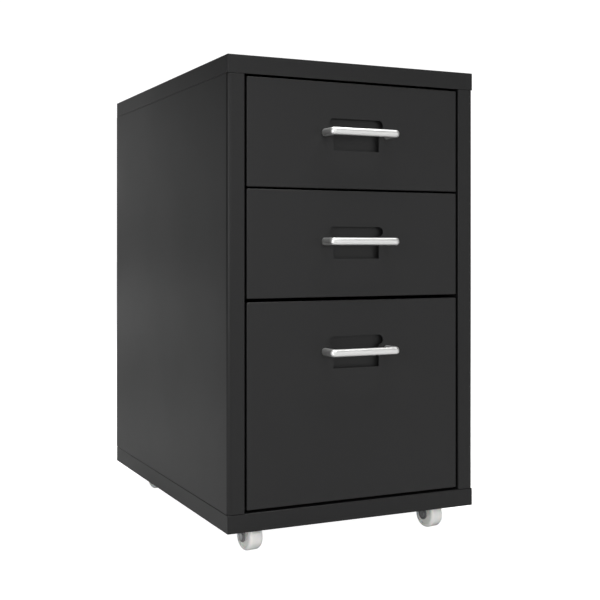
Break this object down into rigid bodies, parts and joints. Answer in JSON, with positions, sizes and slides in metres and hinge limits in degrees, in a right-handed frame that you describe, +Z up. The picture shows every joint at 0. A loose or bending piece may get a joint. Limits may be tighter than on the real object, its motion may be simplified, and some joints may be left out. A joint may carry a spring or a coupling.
{
  "type": "rolling pedestal cabinet",
  "caption": "Rolling pedestal cabinet of folded sheet steel: sliding drawers with bow handles and label windows, on swivel casters.",
  "frame": {"origin": "on the floor, below the middle of the bounding box", "axes": "+Z up, drawers face and open towards -Y, X is the width"},
  "size_m": [0.28, 0.416, 0.4842],
  "materials": {
    "carcass_paint": "fine powder coat, satin",
    "drawer_paint": "fine powder coat, satin",
    "handle_metal": "satin",
    "fastener_zinc": "zinc plated",
    "fork_paint": "satin",
    "wheel_plastic": "satin",
    "glide_nylon": "satin",
    "bumper_rubber": "matt"
  },
  "bodies": {
    "cabinet": {"top_panel": "carcass_paint", "base_panel": "carcass_paint", "left_side_panel": "carcass_paint", "right_side_panel": "carcass_paint", "back_panel": "carcass_paint", "front_base_brace": "carcass_paint", "rear_base_brace": "carcass_paint", "lower_left_runner": "fastener_zinc", "lower_right_runner": "fastener_zinc", "lower_runner_glides": "glide_nylon", "middle_left_runner": "fastener_zinc", "middle_right_runner": "fastener_zinc", "middle_runner_glides": "glide_nylon", "upper_left_runner": "fastener_zinc", "upper_right_runner": "fastener_zinc", "upper_runner_glides": "glide_nylon", "drawer_bumpers": "bumper_rubber", "front_left_caster_plate": "fastener_zinc", "front_left_kingpin": "fastener_zinc", "front_right_caster_plate": "fastener_zinc", "front_right_kingpin": "fastener_zinc", "rear_left_caster_plate": "fastener_zinc", "rear_left_kingpin": "fastener_zinc", "rear_right_caster_plate": "fastener_zinc", "rear_right_kingpin": "fastener_zinc", "caster_screws": "fastener_zinc", "base_rivets": "fastener_zinc", "back_panel_screws": "fastener_zinc", "runner_rivets": "fastener_zinc"},
    "lower_drawer": {"lower_front": "drawer_paint", "lower_tub": "drawer_paint", "lower_handle": "handle_metal", "lower_handle_screws": "fastener_zinc", "lower_tub_glides": "glide_nylon"},
    "middle_drawer": {"middle_front": "drawer_paint", "middle_tub": "drawer_paint", "middle_handle": "handle_metal", "middle_handle_screws": "fastener_zinc", "middle_tub_glides": "glide_nylon"},
    "upper_drawer": {"upper_front": "drawer_paint", "upper_tub": "drawer_paint", "upper_handle": "handle_metal", "upper_handle_screws": "fastener_zinc", "upper_tub_glides": "glide_nylon"},
    "front_left_swivel": {"front_left_fork": "fork_paint", "front_left_axle": "fastener_zinc"},
    "front_left_roller": {"front_left_wheel": "wheel_plastic"},
    "front_right_swivel": {"front_right_fork": "fork_paint", "front_right_axle": "fastener_zinc"},
    "front_right_roller": {"front_right_wheel": "wheel_plastic"},
    "rear_left_swivel": {"rear_left_fork": "fork_paint", "rear_left_axle": "fastener_zinc"},
    "rear_left_roller": {"rear_left_wheel": "wheel_plastic"},
    "rear_right_swivel": {"rear_right_fork": "fork_paint", "rear_right_axle": "fastener_zinc"},
    "rear_right_roller": {"rear_right_wheel": "wheel_plastic"}
  },
  "joints": [
    {"name": "lower_drawer_slide", "type": "slide", "parent": "cabinet", "child": "lower_drawer", "axis": [0, -1, 0], "range_m": [0, 0.28]},
    {"name": "middle_drawer_slide", "type": "slide", "parent": "cabinet", "child": "middle_drawer", "axis": [0, -1, 0], "range_m": [0, 0.28]},
    {"name": "upper_drawer_slide", "type": "slide", "parent": "cabinet", "child": "upper_drawer", "axis": [0, -1, 0], "range_m": [0, 0.28]},
    {"name": "front_left_swivel_turn", "type": "hinge", "parent": "cabinet", "child": "front_left_swivel", "pos_m": [-0.1106, -0.1508, 0.0364], "axis": [0, 0, 1], "continuous": true},
    {"name": "front_left_wheel_roll", "type": "hinge", "parent": "front_left_swivel", "child": "front_left_roller", "pos_m": [-0.10841, -0.16463, 0.0142], "axis": [0.9877, 0.1564, 0], "continuous": true},
    {"name": "front_right_swivel_turn", "type": "hinge", "parent": "cabinet", "child": "front_right_swivel", "pos_m": [0.0971, -0.1508, 0.0364], "axis": [0, 0, 1], "continuous": true},
    {"name": "front_right_wheel_roll", "type": "hinge", "parent": "front_right_swivel", "child": "front_right_roller", "pos_m": [0.09929, -0.16463, 0.0142], "axis": [0.9877, 0.1564, 0], "continuous": true},
    {"name": "rear_left_swivel_turn", "type": "hinge", "parent": "cabinet", "child": "rear_left_swivel", "pos_m": [-0.1106, 0.1482, 0.0364], "axis": [0, 0, 1], "continuous": true},
    {"name": "rear_left_wheel_roll", "type": "hinge", "parent": "rear_left_swivel", "child": "rear_left_roller", "pos_m": [-0.10841, 0.13437, 0.0142], "axis": [0.9877, 0.1564, 0], "continuous": true},
    {"name": "rear_right_swivel_turn", "type": "hinge", "parent": "cabinet", "child": "rear_right_swivel", "pos_m": [0.0971, 0.1482, 0.0364], "axis": [0, 0, 1], "continuous": true},
    {"name": "rear_right_wheel_roll", "type": "hinge", "parent": "rear_right_swivel", "child": "rear_right_roller", "pos_m": [0.09929, 0.13437, 0.0142], "axis": [0.9877, 0.1564, 0], "continuous": true}
  ]
}
